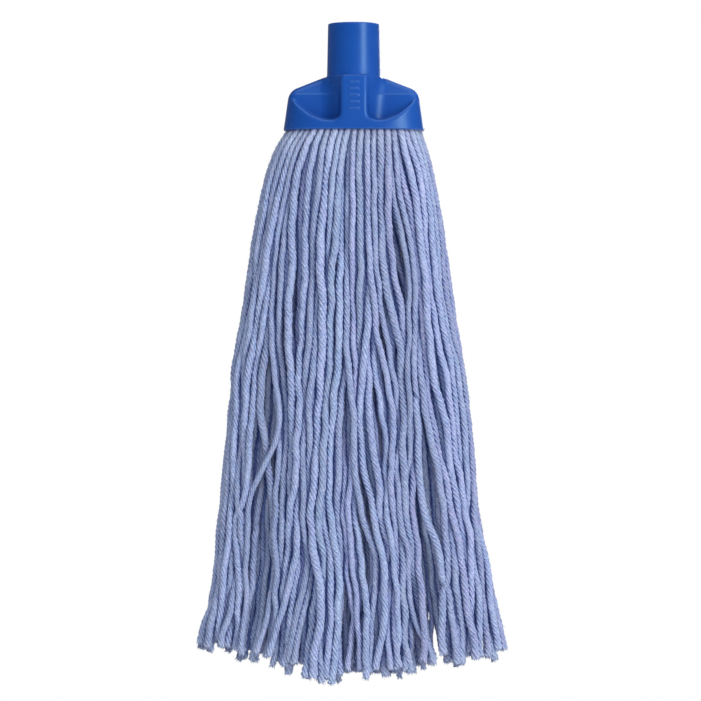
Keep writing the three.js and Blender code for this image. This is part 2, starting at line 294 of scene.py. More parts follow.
# lower edge of a pocket: x away from the axis, z
POCKET_EDGE = [
    (PANEL_HALF_WIDTH, -8.5), (7.6, -11.4), (8.3, -13.9), (10.3, -15.7),
    (13.6, -16.45), (17.8, -16.0), (23.9, -13.5), (29.1, -9.7),
    (33.2, -5.6), (36.4, -1.6), (40.0, 3.4),
]
# a pocket seen from the front: x, z
POCKET_OUTLINE = np.vstack([
    [(PANEL_HALF_WIDTH, 30.0)],
    spline(POCKET_EDGE, 5),
    [(70.0, 40.0), (70, 60), (PANEL_HALF_WIDTH, 60)],
])
# a pocket seen from above: x, y
FLANK_OUTLINE = np.array([
    (PANEL_HALF_WIDTH, 60.0), (PANEL_HALF_WIDTH, 15.9), (15.1, 5.6), (15.1, -20),
    (90, -20), (90, 60),
])


def base_half_depth(z):
    """The base narrows up to the shoulder and leans back faster above it."""
    loss_rate = BASE_DEPTH_LOSS / (SHOULDER_Z - MOUTH_Z)
    above = SHOULDER_HALF_DEPTH - (z - SHOULDER_Z) * 0.27
    return np.where(z > SHOULDER_Z, above, BASE_HALF_DEPTH - (z - MOUTH_Z) * loss_rate)


def base_distance(x, y, z):
    """The oval base with sloping ends and a scooped pocket at each side, front and back."""
    half_width = BASE_HALF_WIDTH - (z - MOUTH_Z) * (BASE_WIDTH_LOSS / (SHOULDER_Z - MOUTH_Z))
    side_x, side_y = np.abs(x), np.abs(y)
    base = superellipse(x, y, half_width, base_half_depth(z), OVAL_POWER)
    end_slope = 0.379 * side_x + 0.925 * z - 14.28
    base = smooth_overlap(base, end_slope, radius=4.2)
    edge = polygon_distance(side_x, z, POCKET_OUTLINE)
    flank = polygon_distance(side_x, side_y, FLANK_OUTLINE)
    # the pocket wall is nearly upright, steps in at the shoulder and leans back above it
    step = WALL_STEP_DEPTH * ease((z - WALL_STEP_Z) / WALL_STEP_RISE)
    step = step + 0.34 * np.maximum(z - SHOULDER_Z, 0)
    wall = ((POCKET_WALL_Y - 0.13 * (z - SHOULDER_Z)) - step - side_y) / 1.06
    pocket = smooth_overlap(flank, wall, radius=5.5)
    pocket = smooth_overlap(pocket, edge, radius=1.6)
    base = smooth_cut(base, pocket, radius=3.0)
    base = smooth_overlap(base, z - BASE_TOP, radius=0.9)
    # soft lip round the mouth
    return smooth_overlap(base, MOUTH_Z - z, radius=0.8)


def tube_distance(axis_gap, z):
    """The handle tube and the column it runs down into."""
    taper = TUBE_RADIUS_LOSS / (TUBE_TOP - TUBE_TAPER_Z)
    radius = np.minimum(TUBE_RADIUS - (z - TUBE_TAPER_Z) * taper, TUBE_RADIUS)
    tube = smooth_overlap(axis_gap - radius, z - TUBE_TOP, radius=0.9)
    return np.maximum(tube, TUBE_BOTTOM - z)


def bar_distance(x, y, z, bar_z):
    """A short level bar raised on the front of the panel."""
    front = base_half_depth(bar_z) - BAR_SINK
    over_x = np.abs(x) - BAR_HALF_LENGTH
    over_z = np.abs(z - bar_z) - BAR_HALF_HEIGHT
    over_y = np.abs(y + front)
    outside = np.sqrt(
        np.maximum(over_x, 0) ** 2 + np.maximum(over_z, 0) ** 2 + np.maximum(over_y, 0) ** 2
    )
    inside = np.minimum(np.maximum(over_x, np.maximum(over_z, over_y)), 0)
    return outside + inside - BAR_ROUNDING


def bore_distance(axis_gap, z):
    """Blind bore from the top of the tube, with a 45 degree lead-in."""
    bore = np.maximum(axis_gap - (BORE_RADIUS + (z / TUBE_TOP) * BORE_FLARE), -z)
    lead_radius = BORE_RADIUS + BORE_FLARE + LEAD_IN
    lead = (axis_gap - lead_radius + (TUBE_TOP - z)) * 0.7071
    return np.minimum(bore, lead)


def chamber_distance(x, y, z):
    """Yarn chamber: a slot that opens into the oval mouth."""
    below = SLOT_TOP_Z - z
    slot_y = np.abs(y) - (SLOT_HALF_DEPTH + below * 0.23)
    slot_x = np.abs(x) - (SLOT_HALF_WIDTH + below * 0.1)
    slot = np.maximum(np.maximum(slot_y, slot_x), z - SLOT_TOP_Z)
    opening = superellipse(x, y, OPENING_HALF_WIDTH, OPENING_HALF_DEPTH, OVAL_POWER)
    opening = smooth_overlap(opening, z - OPENING_TOP_Z, radius=1.5)
    return smooth_union(slot, opening, radius=1.0)


def socket_distance(points):
    x, y, z = points.T
    axis_gap = np.sqrt(x * x + y * y)
    body = smooth_union(base_distance(x, y, z), tube_distance(axis_gap, z), radius=0.9)
    for i in range(BAR_COUNT):
        bar = bar_distance(x, y, z, BAR_TOP_Z - BAR_PITCH * i)
        body = smooth_union(body, bar, radius=0.45)
    body = smooth_cut(body, bore_distance(axis_gap, z), radius=0.6)
    body = smooth_cut(body, chamber_distance(x, y, z), radius=1.0)
    pin_gap = np.sqrt(y * y + (z - PIN_Z) ** 2)
    hole = np.maximum(pin_gap - PIN_HOLE_RADIUS, PIN_HOLE_START - np.abs(x))
    return smooth_cut(body, hole, radius=0.5)


def build_socket():
    cell = 0.44
    low, high = (-41.6, -22.6, -23.6), (41.6, 22.6, 40.6)
    verts, quads = surface_net(socket_distance, low, high, cell)
    # pull the vertices onto the true surface, at most half a cell at a time
    for _ in range(3):
        slope = distance_gradient(socket_distance, verts)
        gap = socket_distance(verts)
        slope2 = np.maximum((slope * slope).sum(1, keepdims=True), 0.05)
        step = gap[:, None] * slope / slope2
        length = np.linalg.norm(step, axis=1, keepdims=True)
        verts -= step * np.minimum(1, 0.5 * cell / np.maximum(length, 1e-9))
    normals = distance_gradient(socket_distance, verts, reach=0.12)
    ob = mesh_object("socket_moulding", verts, quads, normals=normals)
    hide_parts("socket")
    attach(ob, "socket")
    return ob


# ---------------------------------------------------------------- retaining pin
PIN_SIDES = 40
# rounded end: distance in from the tip, share of the full radius
PIN_END = [(0, 0.45), (0.08, 0.72), (0.3, 0.9), (0.7, 0.985), (1.2, 1)]


def build_pin():
    low, high = box_mm("retaining_pin")
    radius = (high.z - low.z) / 2
    centre_z = (high.z + low.z) / 2
    half_length = high.x
    rings = [(-half_length + inset, radius * share) for inset, share in PIN_END]
    rings += [(x, radius) for x in np.linspace(-half_length + 4, half_length - 4, 24)]
    rings += [(half_length - inset, radius * share) for inset, share in PIN_END[::-1]]
    verts = [(-half_length, 0, centre_z)]
    for x, ring_radius in rings:
        for angle in np.arange(PIN_SIDES) / PIN_SIDES * TAU:
            y, z = ring_radius * math.cos(angle), centre_z + ring_radius * math.sin(angle)
            verts.append((x, y, z))
    verts.append((half_length, 0, centre_z))
    quads, _ = tube_faces(len(rings), PIN_SIDES)
    tris = []
    last_ring = 1 + (len(rings) - 1) * PIN_SIDES
    for k in range(PIN_SIDES):
        ahead = (k + 1) % PIN_SIDES
        tris.append((0, 1 + ahead, 1 + k))
        tris.append((len(verts) - 1, last_ring + k, last_ring + ahead))
    ob = mesh_object("retaining_pin_wire", np.array(verts), quads + 1, tris)
    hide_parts("retaining_pin")
    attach(ob, "socket")
    return ob


# ---------------------------------------------------------------- yarn: where each strand runs
STRAND_COUNT = 194
CORE_COUNT = 60
STRAY_COUNT, STEEP_COUNT = 22, 9
STRAND_RADIUS = 2.17
LEVEL_STEP = 4.0
TOP_Z = -20.4
HEM_LOWEST = -337.0
FILL_SPACING = 3.66
BUNDLE_POWER = 2.5

# the hanging bundle: z, half width to the left and to the right of the axis, half depth
BUNDLE = np.array([
    [-20.0, 37.6, 37.6, 18.4],
    [-22.0, 38.2, 38.0, 18.9],
    [-24.5, 41.2, 40.4, 21.8],
    [-28.0, 44.0, 41.9, 23.4],
    [-34.0, 47.3, 43.7, 24.3],
    [-46.0, 51.0, 46.3, 24.6],
    [-62.0, 54.6, 49.3, 24.9],
    [-85.0, 59.2, 53.2, 25.0],
    [-120.0, 64.6, 58.4, 24.7],
    [-155.0, 70.3, 64.0, 24.0],
    [-200.0, 75.0, 68.4, 22.6],
    [-240.0, 79.6, 72.4, 21.2],
    [-265.0, 81.2, 78.0, 20.4],
    [-290.0, 84.6, 82.0, 19.6],
    [-305.0, 88.2, 85.6, 19.2],
    [-318.0, 90.6, 88.2, 19.0],
    [-340.0, 92.0, 89.5, 18.8],
])
# waves shared by whole locks of yarn: wavelength across, wavelength down, size, phase
LOCK_WAVES = ((31, 260, 1.7, 0.3), (19, 150, 1.1, 2.1), (47, 400, 2.2, 4.0))


def bundle_at(z):
    """Centre x, half width and half depth of the bundle at heights z."""
    left, right, depth = [np.interp(-z, -BUNDLE[:, 0], BUNDLE[:, k]) for k in (1, 2, 3)]
    return (right - left) / 2, (right + left) / 2, depth


def strand_radius(z):
    """Strands are squeezed in the mouth and full size a little below it."""
    return np.interp(-z, [20, 23, 34, 60, 340], [1.84, 1.89, 2.05, STRAND_RADIUS, STRAND_RADIUS])


def keep_inside(points, half_width, half_depth, radius, sink):
    """Pull strand centres back so that strands stay inside the oval, sink below its skin.

    Also returns how far out each point was, 1 being on the limit.
    """
    limit_x = half_width - radius - 0.25 * sink
    limit_y = half_depth - radius - sink
    power = BUNDLE_POWER
    share_x, share_y = np.abs(points[..., 0]) / limit_x, np.abs(points[..., 1]) / limit_y
    level = (share_x ** power + share_y ** power) ** (1 / power)
    # move along the surface normal rather than towards the centre
    slope_x = np.sign(points[..., 0]) * share_x ** (power - 1) / limit_x
    slope_y = np.sign(points[..., 1]) * share_y ** (power - 1) / limit_y
    slope2 = slope_x * slope_x + slope_y * slope_y + 1e-12
    scale = np.maximum(level, 1e-6) ** (power - 1)
    move = (np.maximum(level, 1.0) - 1) / (slope2 / (scale * scale)) / scale
    moved = points.copy()
    moved[..., 0] -= move * slope_x
    moved[..., 1] -= move * slope_y
    return moved, level


def repel(points, spacing, strength):
    """Push apart discs (levels, strands, 2) that are closer than the spacing."""
    apart = points[:, :, None, :] - points[:, None, :, :]
    distance = np.sqrt((apart * apart).sum(-1)) + 1e-6
    push = np.maximum(spacing - distance, 0)
    strands = np.arange(points.shape[1])
    push[:, strands, strands] = 0
    return points + strength * (apart * (push / distance)[..., None]).sum(2)


def ripple(run, shortest, longest, size):
    """A sine along the run with a random wavelength and phase for each strand."""
    return np.sin(TAU * run / RNG.uniform(shortest, longest, size) + RNG.uniform(0, 6.28, size))


def waves(count, depth, shortest, longest, height):
    """Sines of random height down each strand: (levels, strands)."""
    wavelength = RNG.uniform(shortest, longest, count)
    phase = RNG.uniform(0, TAU, count)
    heights = RNG.uniform(0.25, 1.0, count) * height
    return heights * np.sin(TAU * depth[:, None] / wavelength + phase)


def rise_and_fall(depth, start, run, rise, fall):
    return ease((depth - start) / rise) * ease((start + run - depth) / fall)


def fill_mouth():
    """A jittered hexagonal fill of the mouth, thinned to the strand count."""
    points = []
    for j, y in enumerate(np.arange(-18, 18.1, FILL_SPACING * 0.866)):
        for x in np.arange(-38, 38.1, FILL_SPACING):
            points.append((x + (j % 2) * FILL_SPACING / 2, y))
    points = np.array(points) + RNG.normal(0, 0.35, (len(points), 2))
    outness = (
        np.abs(points[:, 0] / 36.3) ** BUNDLE_POWER + np.abs(points[:, 1] / 17.0) ** BUNDLE_POWER
    )
    points = points[np.argsort(outness)[:STRAND_COUNT]]
    RNG.shuffle(points)
    return points


def plan_strays(depth, core, sink):
    """Bring stray strands out over the skin and return their sideways step per level."""
    slant = np.zeros_like(sink)
    strays = RNG.choice(np.setdiff1d(np.arange(STRAND_COUNT), core), STRAY_COUNT, replace=False)
    for i in strays:
        start = RNG.uniform(30, 230)
        run = RNG.uniform(60, 150)
        window = rise_and_fall(depth, start, run, rise=35.0, fall=30.0)
        sink[:, i] = sink[:, i] * (1 - window) - 1.7 * window
        slant[:, i] = window * RNG.choice([-1, 1]) * RNG.uniform(0.06, 0.22)
    # a few cross over their neighbours at a steeper angle low down
    for i in strays[:STEEP_COUNT]:
        start = RNG.uniform(130, 245)
        run = RNG.uniform(35, 70)
        window = rise_and_fall(depth, start, run, rise=16.0, fall=16.0)
        slant[:, i] += window * RNG.choice([-1, 1]) * RNG.uniform(0.45, 0.85)
    return slant


def wave_offsets(paths, depth, core):
    """Gentle waves of each strand and of whole locks: (levels, strands, 2)."""
    count = STRAND_COUNT
    wave = np.stack([
        waves(count, depth, 34, 60, height=0.8) + waves(count, depth, 70, 150, height=1.9),
        waves(count, depth, 34, 60, height=0.5) + waves(count, depth, 70, 150, height=1.1),
    ], -1)
    lock = np.zeros(paths.shape[:2])
    side = np.sign(paths[..., 1])
    for across, down, height, phase in LOCK_WAVES:
        turns = paths[..., 0] / across + depth[:, None] / down
        lock += height * np.sin(TAU * turns + phase + 1.7 * side)
    wave[..., 0] += lock
    growth = np.interp(depth, [0, 14, 40, 120, 310], [0.0, 0.38, 0.72, 0.88, 1.15])
    wave *= growth[:, None, None]
    wave[:, core] *= 0.25
    return wave


def solve_paths():
    """Run the strands down from the mouth level by level, then settle them together."""
    z = np.arange(TOP_Z, HEM_LOWEST - LEVEL_STEP, -LEVEL_STEP)
    centre_x, half_width, half_depth = bundle_at(z)
    radius = strand_radius(z)
    depth = MOUTH_Z - z
    count = STRAND_COUNT
    start = fill_mouth()
    spread = start[None]
    for _ in range(160):
        spread = repel(spread, 2 * radius[0] * 1.02, 0.25)
        spread, _level = keep_inside(spread, half_width[0], half_depth[0], radius[0], 0)

    # a core sheet of strands spreads evenly so the bundle is never see-through
    core = np.argsort(np.abs(start[:, 1]))[:CORE_COUNT]
    core = core[np.argsort(spread[0][core, 0])]
    core_x = (np.arange(CORE_COUNT) + 0.5) / CORE_COUNT * 2 - 1
    hold = ease((depth - 25) / 130.0)

    # how far behind the bundle's skin each strand may sit; it drifts along the strand
    sink = 0.5 + 0.5 * ripple(depth[:, None], 70, 210, count)
    sink_depth = np.interp(depth, [0, 5, 16, 50, 180, 310], [0.0, 0.8, 2.0, 3.2, 3.9, 4.6])
    sink = (sink ** 1.3 + 0.25 * RNG.uniform(0, 1, count)) * sink_depth[:, None]
    slant = plan_strays(depth, core, sink)

    wander = RNG.normal(0, 1, (count, 2))
    drift = np.zeros((count, 2))
    size = RNG.normal(1.0, 0.105, count).clip(0.79, 1.22)
    pair_size = (size[:, None] + size[None, :]) / 2
    paths = np.zeros((len(z), count, 2))
    paths[0] = spread[0]
    for k in range(1, len(z)):
        limits = half_width[k], half_depth[k], radius[k]
        growth = np.array([half_width[k] / half_width[k - 1], half_depth[k] / half_depth[k - 1]])
        wander = 0.93 * wander + 0.37 * RNG.normal(0, 1, (count, 2))
        roam = np.interp(depth[k], [2, 40, 160, 300], [0.07, 0.24, 0.32, 0.38])
        level = paths[k - 1] * growth + 0.55 * drift + wander * roam * np.array([1.0, 0.6])
        level[:, 0] += slant[k]
        core_pull = core_x * (half_width[k] - radius[k]) - level[core, 0]
        level[core, 0] += core_pull * 0.10 * hold[k]
        level[core, 1] *= 1 - 0.14 * hold[k]
        _, outness = keep_inside(level, *limits, 0)
        outward = np.interp(depth[k], [2, 28, 100, 300], [0.0, 0.12, 0.19, 0.16])
        level[:, 1] += np.sign(level[:, 1]) * outward * (outness < 0.9)
        edge_share = ease((np.abs(level[:, 0]) / half_width[k] - 0.55) / 0.2)
        level[:, 0] += np.sign(level[:, 0]) * 0.16 * edge_share
        level = level[None]
        for _ in range(14):
            level = repel(level, 2 * radius[k] * pair_size[None] * 0.97, 0.28)
            level, _level = keep_inside(level, *limits, sink[k])
        level = level[0]
        drift = np.clip((level - paths[k - 1] * growth) * 0.8, -1.2, 1.2)
        paths[k] = level

    paths += wave_offsets(paths, depth, core)
    spacing = (2 * radius * 0.95)[:, None, None] * pair_size[None]
    limits = half_width[:, None], half_depth[:, None], radius[:, None]
    for _ in range(24):
        paths[1:-1] = 0.76 * paths[1:-1] + 0.12 * (paths[:-2] + paths[2:])
        paths = repel(paths, spacing, 0.30)
        core_pull = core_x * (half_width - radius)[:, None] - paths[:, core, 0]
        paths[:, core, 0] += core_pull * 0.12 * hold[:, None]
        paths, _level = keep_inside(paths, *limits, sink)
    paths[1:-1] = 0.6 * paths[1:-1] + 0.2 * (paths[:-2] + paths[2:])
    return SimpleNamespace(
        z=z, points=paths, centre_x=centre_x, half_width=half_width, half_depth=half_depth,
        size=size,
    )


# ---------------------------------------------------------------- yarn: strand surfaces
RING = 20
PLIES = 5
TWIST_PITCH = 15.5
RING_SPACING = 1.36
STRAND_LENGTH = 310
HEM_LEVEL = -8  # path level whose places across the bundle decide the cut heights
RING_ANGLES = np.arange(RING) / RING * TAU

# cut ends across the width: place from -1 to 1, z
HEM = np.array([
    [-1, -315.0], [-0.75, -316.0], [-0.55, -320.5], [-0.3, -326.0], [0, -330.5],
    [0.3, -327.5], [0.5, -324.0], [0.75, -318.5], [1, -318.0],
])


def sample_levels(values, place):
    """values (levels, strands, 2) at fractional levels (strands, rings) -> (.., .., 2)."""
    levels = values.shape[0]
    below = np.clip(np.floor(place).astype(int), 0, levels - 2)
    share = (place - below)[..., None]
    strands = np.arange(values.shape[1])[:, None]
    around = [values[np.clip(below + k, 0, levels - 1), strands] for k in (-1, 0, 1, 2)]
    return catmull_rom(*around, share)


def cut_heights(paths, hem_place):
    count = len(hem_place)
    length_noise = RNG.normal(0, 2.0, count)
    x = paths.points[HEM_LEVEL, :, 0]
    clump = 1.5 * np.sin(x / 6.5 + 0.8) + 1.0 * np.sin(x / 3.7 + 2.0)
    end_z = np.interp(hem_place, HEM[:, 0], HEM[:, 1]) + length_noise + clump
    longer = RNG.choice(count, 10, replace=False)
    end_z[longer] -= RNG.uniform(1.5, 4.0, 10)
    return np.maximum(end_z, HEM_LOWEST)


def centre_lines(paths):
    """Centres of every ring (strands, rings, 3)."""
    count = paths.points.shape[1]
    hem_place = np.clip(paths.points[HEM_LEVEL, :, 0] / paths.half_width[HEM_LEVEL], -1, 1)
    end_z = cut_heights(paths, hem_place)[:, None]
    share = np.linspace(0, 1, int(STRAND_LENGTH / RING_SPACING) + 1)
    z = TOP_Z + (end_z - TOP_Z) * share[None, :]
    flat = sample_levels(paths.points, (TOP_Z - z) / LEVEL_STEP)
    centre_x = np.interp(-z, -paths.z, paths.centre_x)
    centre = np.stack([flat[..., 0] + centre_x, flat[..., 1], z], -1)
    # small kinks along each strand, and ends that stray a little
    depth = MOUTH_Z - z
    kink = np.interp(depth, [0, 15, 80, 310], [0.0, 0.15, 0.36, 0.52])
    for axis in (0, 1):
        for shortest, longest, size in ((15, 26, 0.55), (26, 44, 1.0)):
            height = kink * size * RNG.uniform(0.2, 1, (count, 1))
            centre[..., axis] += height * ripple(depth, shortest, longest, (count, 1))
    tail = np.clip(1 - (z - end_z) / 40.0, 0, 1) ** 2
    centre[..., 0] += tail * RNG.normal(0, 2.5, (count, 1)).clip(-4.5, 4.5)
    centre[..., 1] += tail * RNG.normal(0, 2.0, (count, 1)).clip(-3.5, 3.5)
    # the left corner of the hem kicks outward
    centre[..., 0] -= tail * 3.2 * ease((-hem_place[:, None] - 0.74) / 0.2)
    limit = np.interp(-z, -paths.z, paths.half_width) - 2.2
    centre[..., 0] = np.clip(centre[..., 0] - centre_x, -limit, limit) + centre_x
    return centre


def surface_normals(surface, centre):
    around = np.roll(surface, -1, 2) - np.roll(surface, 1, 2)
    normal = np.cross(np.gradient(surface, axis=1), around)
    outward = surface - centre[:, :, None, :]
    normal *= np.sign((normal * outward).sum(-1, keepdims=True) + 1e-12)
    return normal / np.maximum(np.linalg.norm(normal, axis=-1, keepdims=True), 1e-9)


def build_strands(paths):
    """Ring surfaces of all strands: round plies wound together."""
    centre = centre_lines(paths)
    count = len(centre)
    z = centre[..., 2]
    along, side, cross, run = curve_frames(centre)
    # cross-section
    half_ply = np.pi / PLIES
    off_crest = (RING_ANGLES + half_ply) % (TAU / PLIES) - half_ply
    dip = (np.abs(off_crest) / half_ply) ** 1.5
    ply = (np.arange(RING) / (RING / PLIES) + 0.5).astype(int) % PLIES
    ply_size = 1 + RNG.normal(0, 0.045, (count, PLIES))
    pitch = TWIST_PITCH * RNG.normal(1, 0.07, count).clip(0.85, 1.2)
    phase = RNG.uniform(0, TAU, count)[:, None]
    # the twist tightens and loosens slowly along each strand
    slow = np.zeros_like(run)
    for wavelength, height in ((37.0, 0.35), (90.0, 0.8)):
        turns = TAU * run / (wavelength * RNG.uniform(0.8, 1.3, (count, 1)))
        slow += height * np.sin(turns + RNG.uniform(0, 6.28, (count, 1)))
    turn = phase - TAU * run / pitch[:, None] + slow * 0.5
    # thickness, swelling along the strand and flaring at the cut
    radius = 0.95 * strand_radius(z) * paths.size[:, None]
    swell = 1 + 0.03 * np.sin(TAU * run / 13.0 + phase * 3)
    radius = radius * (swell + 0.02 * np.sin(TAU * run / 5.3 + phase * 7))
    to_end = run[:, -1:] - run
    radius *= 1 + 0.18 * np.exp(-(to_end / 4.0) ** 2)
    looseness = (
        0.5 + 0.25 * ripple(run, 17, 43, (count, 1)) + 0.25 * ripple(run, 50, 130, (count, 1))
    )
    groove = 0.15 + 0.19 * looseness + 0.16 * np.exp(-(to_end / 5.0) ** 2)
    reach = radius[:, :, None] * (1 - groove[..., None] * dip[None, None, :])
    reach = reach * ply_size[:, ply][:, None, :]
    angle = turn[:, :, None] + RING_ANGLES[None, None, :]
    spoke = (
        np.cos(angle)[..., None] * side[:, :, None, :]
        + np.sin(angle)[..., None] * cross[:, :, None, :]
    )
    surface = centre[:, :, None, :] + reach[..., None] * spoke
    # ragged cut: the plies end at slightly different lengths
    ragged = RNG.normal(0, 0.6, (count, PLIES)).clip(-1.0, 1.3)
    surface[:, -1] = centre[:, -1, None] + (surface[:, -1] - centre[:, -1, None]) * 0.97
    for back, share in ((1, 1.0), (2, 0.55), (3, 0.25), (4, 0.08)):
        surface[:, -back] += (ragged[:, ply] * share)[..., None] * along[:, -back][:, None, :]
    return SimpleNamespace(
        centre=centre, surface=surface, normal=surface_normals(surface, centre), run=run,
        along=along, side=side, cross=cross, z=z, radius=radius,
        # valley: how deep each vertex lies in a groove between plies; the material paints shade
        # from it
        valley=dip[None, None, :] * np.clip(groove / 0.21, 0, 1.4)[..., None],
    )


# ---------------------------------------------------------------- yarn: meshes
class YarnMesh:
    """Gathers lengths of yarn into one mesh with the attributes its material reads."""

    def __init__(self):
        self.verts, self.normals, self.quads, self.tris = [], [], [], []
        names = ("yarn_s", "yarn_a", "yarn_rand", "yarn_valley", "yarn_end")
        self.values = {name: [] for name in names}
        self.count = 0

    def add(self, verts, normals, quads, tris, run, angle, tone, valley, end):
        self.verts.append(verts)
        self.normals.append(normals)
        self.quads.append(quads + self.count)
        self.tris.append(tris + self.count)
        for stored, value in zip(self.values.values(), (run, angle, tone, valley, end)):
            stored.append(np.broadcast_to(value, len(verts)))
        self.count += len(verts)

    def build(self, name):
        parts = (self.verts, self.quads, self.tris, self.normals)
        ob = mesh_object(name, *(np.vstack(part) for part in parts))
        for key, values in self.values.items():
            attribute = ob.data.attributes.new(key, "FLOAT", "POINT")
            attribute.data.foreach_set("value", np.concatenate(values).astype(np.float32))
        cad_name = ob
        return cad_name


# a fibre is two rings of three vertices and a tip
FIBRE_VERTS = 7
FIBRE_QUADS = np.array([[0, 1, 4, 3], [1, 2, 5, 4], [2, 0, 3, 5]])
FIBRE_TRIS = np.array([[3, 4, 6], [4, 5, 6], [5, 3, 6], [2, 1, 0]])
FIBRE_SPACING = 3.8
TOP_FLUFF = 14
FRAY_COUNT = 34


def add_fibres(mesh, yarn, i, first, last, frayed):
    """Thin tapering hairs rooted in strand i: along a skin strand, and a brush at its cut."""
    body = yarn.skin[i]
    body_count = int((yarn.run[i, last] - yarn.run[i, first]) / FIBRE_SPACING) if body else 0
    fluff = TOP_FLUFF if body and first == 0 else 0
    body_count += fluff
    count = body_count + (FRAY_COUNT if frayed else 0)
    at_cut = np.arange(count) >= body_count
    from_cut = last - RNG.integers(0, 2, count)
    ring = np.where(at_cut, from_cut, RNG.integers(first + 1, max(last - 3, first + 2), count))
    angle = RNG.uniform(0, TAU, count)
    ring[:fluff] = RNG.integers(1, 6, fluff)
    along = yarn.along[i][ring]
    out = (
        np.cos(angle)[:, None] * yarn.side[i][ring] + np.sin(angle)[:, None] * yarn.cross[i][ring]
    )
    root_share = np.where(at_cut, np.sqrt(RNG.uniform(0.02, 0.62, count)), 0.84)
    root = yarn.centre[i][ring] + out * (yarn.radius[i][ring] * root_share)[:, None]
    length = np.where(at_cut, RNG.uniform(0.9, 2.5, count), RNG.uniform(2.2, 5.0, count))
    lean = np.where(at_cut, RNG.uniform(0.0, 0.38, count), RNG.uniform(0.20, 0.42, count))
    way = np.where(at_cut, 1.0, RNG.choice([-1.0, 1.0], count, p=[0.25, 0.75]))
    side = np.cross(along, out)
    lower = along * way[:, None] + out * lean[:, None]
    lower = unit_rows(lower + side * (RNG.normal(0, 0.25, count))[:, None])
    middle = root + lower * (length * 0.5)[:, None]
    upper = lower + out * RNG.normal(-0.12, 0.25, count)[:, None]
    upper = unit_rows(upper + side * RNG.normal(0, 0.3, count)[:, None])
    tip = middle + upper * (length * 0.5)[:, None]
    width = np.where(at_cut, RNG.uniform(0.13, 0.24, count), RNG.uniform(0.06, 0.10, count))
    width = width[:, None, None]
    axis_1 = unit_rows(np.cross(lower, [0.3, 0.9, 0.31]))
    axis_2 = np.cross(lower, axis_1)
    corner = (np.arange(3) * TAU / 3)[None, :, None]
    spoke = np.cos(corner) * axis_1[:, None] + np.sin(corner) * axis_2[:, None]
    rings = [root[:, None] + spoke * width, middle[:, None] + spoke * (width * 0.75)]
    offset = (np.arange(count) * FIBRE_VERTS)[:, None, None]
    mesh.add(
        verts=np.concatenate([*rings, tip[:, None]], 1).reshape(-1, 3),
        normals=np.concatenate([spoke, spoke, upper[:, None]], 1).reshape(-1, 3),
        quads=(offset + FIBRE_QUADS[None]).reshape(-1, 4),
        tris=(offset + FIBRE_TRIS[None]).reshape(-1, 3),
        run=np.repeat(yarn.run[i][ring], FIBRE_VERTS),
        angle=np.repeat(angle, FIBRE_VERTS),
        tone=yarn.tone[i], valley=0.0, end=0.8,
    )


def add_strand(mesh, yarn, i, first, last):
    """Rings first to last of strand i."""
    # strands that never reach the skin of the bundle are coarser
    step = 1 if yarn.skin[i] else 2
    rings = np.unique(np.append(np.arange(first, last + 1, step), last))
    around = np.arange(0, RING, step)
    at_cut = last == yarn.surface.shape[1] - 1
    run, along = yarn.run[i], yarn.along[i]
    bottom = yarn.centre[i, last] + (along[last] * 0.9 if at_cut else 0)
    quads, tris = tube_faces(len(rings), len(around))
    to_end = run[-1] - run[rings]
    # painted light near the top of each strand, just under the mouth, and lighter colour towards
    # the cut end; the material reads this as yarn_end
    end = np.exp(-(to_end / 3.0)) + 1.5 * np.exp(-np.maximum(run[rings] - 2.0, 0) / 9.0)

    def per_vertex(values, caps):
        return np.concatenate([values, caps])

    mesh.add(
        verts=np.vstack([
            yarn.surface[i][rings][:, around].reshape(-1, 3), yarn.centre[i, first], bottom,
        ]),
        normals=np.vstack([
            yarn.normal[i][rings][:, around].reshape(-1, 3), -along[first], along[last],
        ]),
        quads=quads,
        tris=tris,
        run=per_vertex(np.repeat(run[rings], len(around)), [run[first], run[last]]),
        angle=per_vertex(np.tile(RING_ANGLES[around], len(rings)), [0, 0]),
        tone=yarn.tone[i],
        valley=per_vertex(yarn.valley[i][rings][:, around].ravel(), [1, 0.15]),
        end=per_vertex(np.repeat(end, len(around)), [end[0], end[-1]]),
    )
    if yarn.skin[i] or at_cut:
        add_fibres(mesh, yarn, i, first, last, frayed=at_cut)


def tuft_names(paths):
    """Which CAD tuft each strand belongs to, from where it runs near the mouth and halfway."""
    high, low = np.argmin(np.abs(paths.z + 60)), np.argmin(np.abs(paths.z + 170))
    names = []
    for near, far in zip(paths.points[high], paths.points[low]):
        place = (near[0] / paths.half_width[high] + far[0] / paths.half_width[low]) / 2
        y = (near[1] + far[1]) / 2
        if abs(place) > 0.705:
            names.append("yarn_left" if place < 0 else "yarn_right")
            continue
        column = int(np.digitize(place, [-0.415, -0.137, 0.137, 0.415])) + 1
        names.append(f"yarn_{'front' if y < 0 else 'back'}_{column}")
    return names


def skin_strands(paths):
    """Which strands come near the outside of the bundle somewhere."""
    limit_x, limit_y = paths.half_width[:, None] - 2, paths.half_depth[:, None] - 2
    share_x = np.abs(paths.points[..., 0] / limit_x) ** BUNDLE_POWER
    share_y = np.abs(paths.points[..., 1] / limit_y) ** BUNDLE_POWER
    outness = (share_x + share_y) ** 0.4
    depth = paths.half_depth[2:, None]
    return (outness[2:] * depth).max(0) > (depth - 8.5).max()


